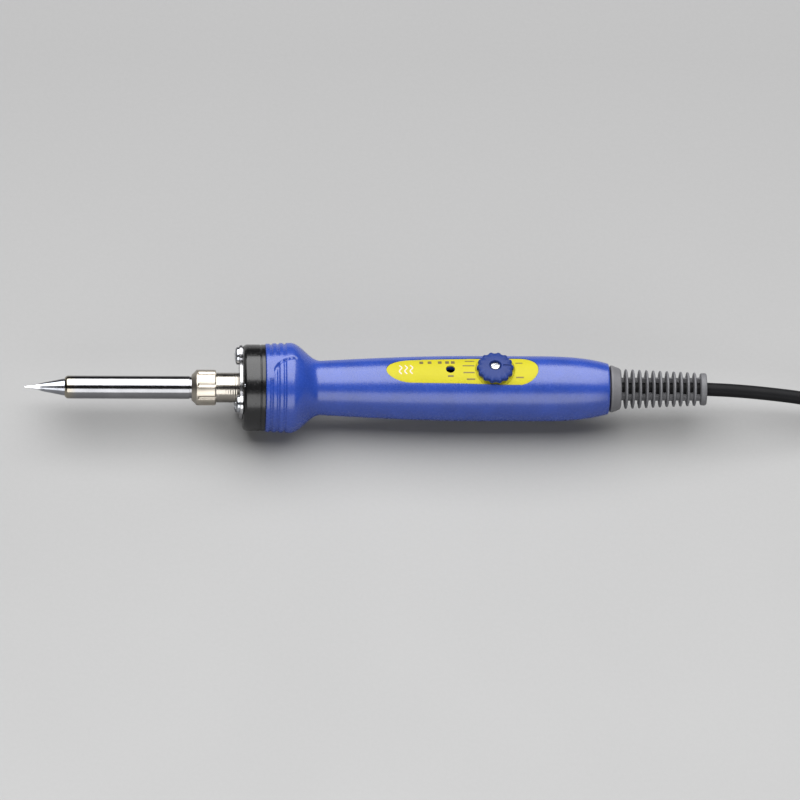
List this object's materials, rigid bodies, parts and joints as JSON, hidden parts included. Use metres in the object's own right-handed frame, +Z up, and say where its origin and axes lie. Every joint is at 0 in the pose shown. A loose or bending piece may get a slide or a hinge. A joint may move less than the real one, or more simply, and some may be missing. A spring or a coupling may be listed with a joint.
{
  "type": "temperature-controlled soldering iron",
  "caption": "Corded soldering iron with a conical tip in a stainless tube, a flared blue handle with a temperature dial, and a ribbed strain relief.",
  "frame": {"origin": "on the resting surface, under the middle of the iron's length and width, cord not counted", "axes": "-X along the iron's axis towards the tip, +Z up through the dial"},
  "size_m": [0.4044, 0.039, 0.0283],
  "materials": {
    "handle_plastic": "moulded semi-gloss",
    "black_phenolic": "moulded phenolic, satin",
    "stainless_sheet": "stamped",
    "plated_screw": "bright zinc plate",
    "nickel_brass": "nickel plated, turned",
    "alumina": "fired ceramic",
    "steatite": "fired ceramic",
    "spring_steel": "tempered",
    "mica_board": "pressed sheet",
    "ptfe_wire": "extruded insulation",
    "board_laminate": "solder mask",
    "chip_epoxy": "moulded epoxy",
    "capacitor_epoxy": "dipped epoxy",
    "capacitor_sleeve": "shrunk sleeve",
    "resistor_ceramic": "lacquered",
    "pot_case": "moulded",
    "lamp_epoxy": "clear tinted epoxy, unlit",
    "yellow_panel": "printed film, satin",
    "boot_rubber": "moulded, matt",
    "crimp_steel": "pressed",
    "cord_jacket": "extruded, matt",
    "black_wire": "extruded insulation",
    "white_wire": "extruded insulation",
    "tie_band": "woven hook and loop",
    "plug_vinyl": "moulded vinyl",
    "blade_brass": "nickel-free brass",
    "spindle_metal": "turned",
    "dial_plastic": "moulded semi-gloss",
    "tip_plating": "iron plated, tinned at the end",
    "polished_stainless": "polished tube",
    "satin_nickel": "satin nickel plate"
  },
  "bodies": {
    "root": {"handle_shell": "handle_plastic", "front_ring": "black_phenolic", "ring_pin": "plated_screw", "flange_plate": "stainless_sheet", "flange_screws": "plated_screw", "nipple": "nickel_brass", "heater_element": "alumina", "heater_collar": "steatite", "wave_washer": "spring_steel", "insulating_disc": "mica_board", "heater_leads": "ptfe_wire", "circuit_board": "board_laminate", "control_chip": "chip_epoxy", "triac": "chip_epoxy", "film_capacitor": "capacitor_epoxy", "smoothing_capacitor": "capacitor_sleeve", "dropper_resistor": "resistor_ceramic", "potentiometer": "pot_case", "indicator_led": "lamp_epoxy", "control_panel": "yellow_panel", "cord_boot": "boot_rubber", "cord_clamp": "crimp_steel", "cord_entry": "cord_jacket", "live_wire": "black_wire", "neutral_wire": "white_wire", "cord_lead": "cord_jacket", "cord_hank": "cord_jacket", "cord_tail": "cord_jacket", "hank_tie": "tie_band", "plug_relief": "plug_vinyl", "plug_body": "plug_vinyl", "plug_blades": "blade_brass"},
    "dial": {"dial_spindle": "spindle_metal", "dial_knob": "dial_plastic", "dial_screw": "plated_screw"},
    "tip": {"soldering_tip": "tip_plating"},
    "enclosure": {"tip_enclosure": "polished_stainless"},
    "nut": {"enclosure_nut": "satin_nickel"}
  },
  "joints": [
    {"name": "dial_turn", "type": "hinge", "parent": "root", "child": "dial", "pos_m": [0.0401, 0, 0.02515], "axis": [0, 0, 1], "range_deg": [-150, 150]},
    {"name": "tip_pull", "type": "slide", "parent": "root", "child": "tip", "axis": [-1, 0, 0], "range_m": [0, 0.05]},
    {"name": "enclosure_advance", "type": "slide", "parent": "tip", "child": "enclosure", "axis": [-1, 0, 0], "range_m": [0, 0.00487]},
    {"name": "nut_turn", "type": "hinge", "parent": "enclosure", "child": "nut", "pos_m": [-0.0512, 0, 0.01415], "axis": [-1, 0, 0], "range_deg": [0, 2350]}
  ],
  "couplings": [
    {"joint": "nut_turn", "follows": "enclosure_advance", "rad_per_m": 8377.6}
  ]
}
